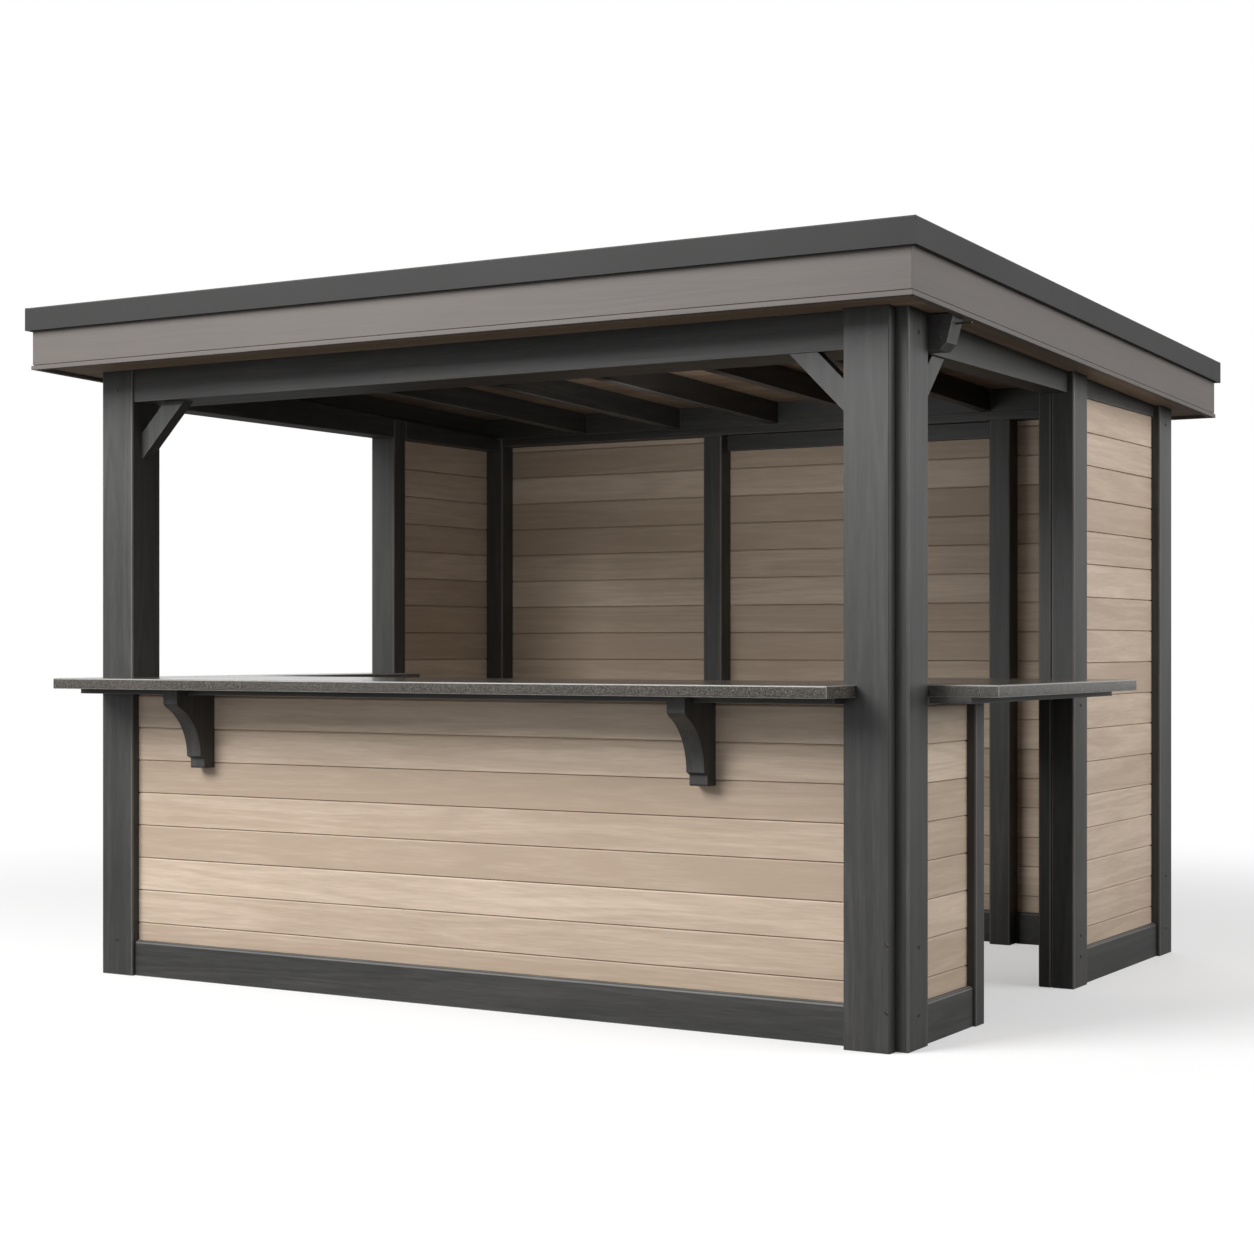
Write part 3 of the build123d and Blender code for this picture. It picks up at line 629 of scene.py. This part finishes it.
# %% Boards under the overhang
soffit_low, soffit_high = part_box("front_and_rear_soffit")
SOFFIT_THICKNESS = 0.014
FRONT_AND_REAR_SEED = 31
SIDE_SEED = 32
soffit_underside = soffit_high.z - SOFFIT_THICKNESS
corner_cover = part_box("corner_cover_boards")
left_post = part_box("front_left_post")
right_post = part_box("front_right_post")
rear_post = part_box("rear_left_post")
side_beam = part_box("side_beams")
left_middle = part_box("left_mid_post")
door_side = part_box("door_post")
tie_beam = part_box("front_tie_beam")


def crosswise_board(mesh, near, far, left, right, tint):
    """A soffit board that runs along the front or the back."""

    def place(run, side, up):
        return Vector((run, side, falling(soffit_underside, side) + up))

    prism(mesh, thin_board_profile(near, far, SOFFIT_THICKNESS), left, right, place, tint)


def lengthwise_board(mesh, left, right, near, far, tint):
    """A soffit board that runs from front to back and falls with the roof."""

    def place(run, side, up):
        return Vector((side, run, falling(soffit_underside, run) + up))

    prism(mesh, thin_board_profile(left, right, SOFFIT_THICKNESS), near, far, place, tint)


def front_and_rear_boards(mesh):
    """Two boards in front of the cover boards, one on each side of them, and two behind the back wall."""
    chance = random.Random(FRONT_AND_REAR_SEED)
    front_face = left_post[0].y
    cover_front = corner_cover[0].y
    rear_face = rear_post[1].y
    middle = (soffit_low.y + cover_front) / 2
    ends = (soffit_low.x, soffit_high.x)
    crosswise_board(mesh, soffit_low.y, middle, *ends, chance.uniform(-1, 1))
    crosswise_board(mesh, middle, cover_front, *ends, chance.uniform(-1, 1))
    crosswise_board(mesh, cover_front, front_face, ends[0], corner_cover[0].x, chance.uniform(-1, 1))
    crosswise_board(mesh, cover_front, front_face, corner_cover[1].x, ends[1], chance.uniform(-1, 1))
    middle = (rear_face + soffit_high.y) / 2
    crosswise_board(mesh, rear_face, middle, *ends, chance.uniform(-1, 1))
    crosswise_board(mesh, middle, soffit_high.y, *ends, chance.uniform(-1, 1))


def side_boards(mesh):
    """One board along each side, and a strip over the set-back beams between the posts."""
    chance = random.Random(SIDE_SEED)
    front_face = left_post[0].y
    rear_face = rear_post[1].y
    lengthwise_board(mesh, soffit_low.x, left_post[0].x, front_face, rear_face, chance.uniform(-1, 1))
    lengthwise_board(mesh, right_post[1].x, soffit_high.x, front_face, rear_face, chance.uniform(-1, 1))
    for post, left, right in (
        (left_middle, left_post[0].x, side_beam[0].x), (door_side, side_beam[1].x, right_post[1].x),
    ):
        lengthwise_board(mesh, left, right, tie_beam[1].y, post[0].y, chance.uniform(-1, 1))
        lengthwise_board(mesh, left, right, post[1].y, rear_post[0].y, chance.uniform(-1, 1))


make_piece(
    "front_and_rear_soffit_boards", front_and_rear_boards, soffit_wood[ALONG_X],
    ("front_and_rear_soffit",),
)
make_piece("side_soffit_boards", side_boards, soffit_wood[ALONG_Y], ("side_soffit",))

# %% [markdown]
# ## Laps in the roofing sheet
# Roofing comes in strips that overlap by a hand's width and are glued down. Each overlap is a low flat
# band from front to back.

# %% Bands on the roofing sheet
STRIP_COUNT = 3
LAP_WIDTH = 0.09
LAP_HEIGHT = 0.003
LAP_EDGE = 0.002


def sheet_laps(mesh):
    width = sheet_high.x - sheet_low.x
    outline = [
        (0.0, 0.0), (LAP_WIDTH, 0.0), (LAP_WIDTH - LAP_EDGE, LAP_HEIGHT), (LAP_EDGE, LAP_HEIGHT),
    ]
    for strip in range(1, STRIP_COUNT):
        left = sheet_low.x + width * strip / STRIP_COUNT

        def place(run, side, up):
            return Vector((left + side, run, falling(sheet_high.z, run) + up))

        prism(mesh, outline, sheet_low.y, sheet_high.y, place)


make_piece("roof_sheet_laps", sheet_laps, roof_rubber)

# %% [markdown]
# ## Screws
# The posts and the tie beam are held by screws with low round heads and a star recess. A head is four
# rings of points: the rim on the timber, the edge of the crown, the star, and the star once more at the
# floor of its recess. Most screws sit on the middle line of a post's face. Their heights are taken from
# the ground or from the head of the post, and the others are set in from an edge of their board or beam.
# A threaded bolt end stands out of each end of the tie beam.

# %% Screw heads
HEAD_RADIUS = 0.0075
CROWN_RADIUS = 0.006
CROWN_HEIGHT = 0.0024
STAR_RADIUS = 0.0034
STAR_WAIST = 0.0021
STAR_FLOOR = 0.0005
STAR_POINTS = 12


def screw_head(mesh, place, outward, aside):
    """One screw head at a place on a face that looks outward; aside is a direction in that face."""
    upward = outward.cross(aside)

    def ring(radii, height):
        points = []
        for index in range(STAR_POINTS):
            angle = 2 * math.pi * index / STAR_POINTS
            radius = radii[index % len(radii)]
            across = aside * (radius * math.cos(angle)) + upward * (radius * math.sin(angle))
            points.append(mesh.verts.new(place + across + outward * height))
        return points

    rings = (
        ring((HEAD_RADIUS,), 0.0), ring((CROWN_RADIUS,), CROWN_HEIGHT),
        ring((STAR_RADIUS, STAR_WAIST), CROWN_HEIGHT), ring((STAR_RADIUS, STAR_WAIST), STAR_FLOOR),
    )
    for outer, inner in zip(rings, rings[1:]):
        for index in range(STAR_POINTS):
            after = (index + 1) % STAR_POINTS
            mesh.faces.new((outer[index], outer[after], inner[after], inner[index]))
    mesh.faces.new(rings[-1])
    mesh.faces.new(tuple(reversed(rings[0])))


LEFT = Vector((-1, 0, 0))
RIGHT = Vector((1, 0, 0))
FRONT = Vector((0, -1, 0))
REAR = Vector((0, 1, 0))
LOW_SCREWS = (0.105, 0.31)
FRONT_LOW_SCREW = 0.131
HIGH_SCREW = 0.085
DOOR_POST_SCREWS = (0.111, 0.186, 1.006)
COVER_SCREWS = (0.1235, 0.326)
COVER_SCREW_INSET = 0.011
TIE_SCREW_INSET = 0.047
TIE_SCREWS = (0.036, 0.082)
ROD_RADIUS = 0.0035
ROD_LENGTH = 0.042
ROD_SIDES = 10


def post_screws(mesh):
    """Screws at the foot and the head of the corner posts, in the door post and in the cover board."""
    for node, sideways, ahead in (
        ("front_left_post", LEFT, FRONT), ("front_right_post", RIGHT, FRONT),
        ("rear_left_post", LEFT, REAR), ("rear_right_post", RIGHT, REAR),
    ):
        low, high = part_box(node)
        middle = (low + high) / 2
        outside = high.x if sideways is RIGHT else low.x
        for height in (*LOW_SCREWS, high.z - HIGH_SCREW):
            screw_head(mesh, Vector((outside, middle.y, height)), sideways, REAR)
        if node != "front_right_post":
            face = low.y if ahead is FRONT else high.y
            for height in (FRONT_LOW_SCREW, high.z - HIGH_SCREW):
                screw_head(mesh, Vector((middle.x, face, height)), ahead, RIGHT)
    low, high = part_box("door_post")
    for height in DOOR_POST_SCREWS:
        screw_head(mesh, Vector((high.x, (low.y + high.y) / 2, height)), RIGHT, REAR)
    low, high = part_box("corner_cover_boards")
    for height in COVER_SCREWS:
        screw_head(mesh, Vector((high.x - COVER_SCREW_INSET, low.y, height)), FRONT, RIGHT)


def tie_hardware(mesh):
    """Two screws through each end of the tie beam, and the bolt end that stands out of it."""
    low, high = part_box("front_tie_beam")
    middle = (low.y + high.y) / 2
    for end, outward in ((low.x, LEFT), (high.x, RIGHT)):
        for up in TIE_SCREWS:
            place = Vector((end - outward.x * TIE_SCREW_INSET, low.y, low.z + up))
            screw_head(mesh, place, FRONT, RIGHT)
        turns = [2 * math.pi * index / ROD_SIDES for index in range(ROD_SIDES)]
        outline = [(ROD_RADIUS * math.cos(turn), ROD_RADIUS * math.sin(turn)) for turn in turns]

        def put(run, side, up):
            return Vector((end + outward.x * run, middle + side, low.z + TIE_SCREWS[1] + up))

        prism(mesh, outline, -ROD_LENGTH / 2, ROD_LENGTH, put)


make_piece("post_screws", post_screws, steel)
make_piece("tie_beam_hardware", tie_hardware, steel)

# %% [markdown]
# ## Floor
# The bar stands on the floor of a studio, which is pale, keeps the soft shadow and fades into the white
# background a few metres out. A Light Path node tells the camera's rays from the rest. To the camera the
# floor is nearly white, and to light that bounces off it, it is much darker, so that it throws little
# light up under the roof.

# %% A pale floor that fades out
FLOOR_HALF = 40.0
FLOOR_DROP = 0.0005
FADE_START = 2.6
FADE_END = 6.5
NEAR_WHITE = 0.4
PALE = 0.9
BOUNCE = 0.22


def floor_finish():
    finish = Finish("studio_floor")
    place = finish.add("ShaderNodeTexCoord").outputs["Object"]
    length = finish.add("ShaderNodeVectorMath", {"operation": "LENGTH"}, {0: place})
    away = Value(finish, length.outputs["Value"]).between(FADE_START, FADE_END)
    seen = Value(finish, finish.add("ShaderNodeLightPath").outputs["Is Camera Ray"])
    finish.set("Base Color", finish.mix(seen, (BOUNCE, BOUNCE, BOUNCE, 1.0), (PALE, PALE, PALE, 1.0)))
    finish.set("Roughness", 1.0)
    white = finish.add("ShaderNodeEmission", inputs={"Strength": 1.0})
    shade = finish.add("ShaderNodeMixShader")
    finish.connect(shade.inputs[0], seen * (away * (1.0 - NEAR_WHITE) + NEAR_WHITE))
    finish.connect(shade.inputs[1], finish.surface.outputs[0])
    finish.connect(shade.inputs[2], white.outputs[0])
    finish.connect(finish.tree.nodes["Material Output"].inputs["Surface"], shade.outputs[0])
    return finish.material


floor_mesh = bpy.data.meshes.new("floor")
corners = [
    (x * FLOOR_HALF, y * FLOOR_HALF, -FLOOR_DROP) for x, y in ((-1, -1), (1, -1), (1, 1), (-1, 1))
]
floor_mesh.from_pydata(corners, [], [(0, 1, 2, 3)])
floor_mesh.materials.append(floor_finish())
floor = bpy.data.objects.new("floor", floor_mesh)
bpy.context.scene.collection.objects.link(floor)
print("floor in metres:", 2 * FLOOR_HALF)

# %% [markdown]
# ## Light
# The light is that of a bright studio. The surround is plain white to the eye and in reflections, and
# much dimmer as a light, so that a white background doesn't wash out the shadows. Again a Light Path node
# tells which ray asks.

# %% White surround
SURROUND_LIGHT = 0.2
WHITE = (1.0, 1.0, 1.0, 1.0)
world = bpy.data.worlds.new("studio")
world.use_nodes = True
bpy.context.scene.world = world
tree = world.node_tree
dim = tree.nodes["Background"]
dim.inputs["Strength"].default_value = SURROUND_LIGHT
dim.inputs["Color"].default_value = WHITE
white = tree.nodes.new("ShaderNodeBackground")
white.inputs["Color"].default_value = WHITE
path = tree.nodes.new("ShaderNodeLightPath")
seen = path.outputs["Is Camera Ray"]
for other in ("Is Glossy Ray", "Is Transmission Ray"):
    either = tree.nodes.new("ShaderNodeMath")
    either.operation = "MAXIMUM"
    tree.links.new(seen, either.inputs[0])
    tree.links.new(path.outputs[other], either.inputs[1])
    seen = either.outputs[0]
choose = tree.nodes.new("ShaderNodeMixShader")
tree.links.new(seen, choose.inputs[0])
tree.links.new(dim.outputs[0], choose.inputs[1])
tree.links.new(white.outputs[0], choose.inputs[2])
tree.links.new(choose.outputs[0], tree.nodes["World Output"].inputs["Surface"])
print("surround as a light:", SURROUND_LIGHT)

# %% [markdown]
# ## Lamps
# Big square lamps give the soft shadows of a studio. The strongest is high on the left, a weaker one is on
# the right, and a low one in front lifts the front wall. A small one under the roof lights the back wall,
# and one behind serves the views from the back.

# %% Five soft lamps


def soft_lamp(name, place, target, size, power):
    """A square lamp that faces a point."""
    light = bpy.data.lights.new(name, "AREA")
    light.size = size
    light.energy = power
    lamp = bpy.data.objects.new(name, light)
    lamp.location = place
    lamp.rotation_euler = (Vector(target) - Vector(place)).to_track_quat("-Z", "Y").to_euler()
    bpy.context.scene.collection.objects.link(lamp)
    lamp.visible_camera = False
    return lamp


LAMP_TARGET = (0.0, -0.6, 0.8)
soft_lamp("key_lamp", (-3.0, -7.0, 6.0), LAMP_TARGET, 5.0, 980.0)
soft_lamp("side_lamp", (8.0, 1.2, 4.0), LAMP_TARGET, 5.0, 400.0)
soft_lamp("front_lamp", (0.5, -9.0, 2.4), LAMP_TARGET, 4.0, 45.0)
soft_lamp("inner_lamp", (0.0, -0.3, 1.8), (0.0, 1.2, 1.65), 0.7, 5.0)
soft_lamp("rear_lamp", (-3.0, 8.0, 4.5), LAMP_TARGET, 5.0, 200.0)
print("lamps:", len(bpy.data.lights))

# %% [markdown]
# ## Camera
# The view is from the front right at a person's chest height, level, so that uprights stay upright in the
# picture. The small shift lifts the picture without tilting the camera.

# %% The photograph's view
CAMERA_PLACE = (4.30025, -7.5095, 1.22)
CAMERA_TURN = math.radians(30.7)
SENSOR = 36.0
FOCAL_LENGTH = 64.71
LIFT = 0.01435
UPRIGHT = math.radians(90)
camera_data = bpy.data.cameras.new("camera")
camera_data.sensor_width = SENSOR
camera_data.lens = FOCAL_LENGTH
camera_data.shift_y = LIFT
camera = bpy.data.objects.new("camera", camera_data)
camera.location = CAMERA_PLACE
camera.rotation_euler = (UPRIGHT, 0.0, CAMERA_TURN)
bpy.context.scene.collection.objects.link(camera)
bpy.context.scene.camera = camera
bpy.context.scene.view_settings.view_transform = "Standard"
print("focal length in millimetres:", FOCAL_LENGTH)
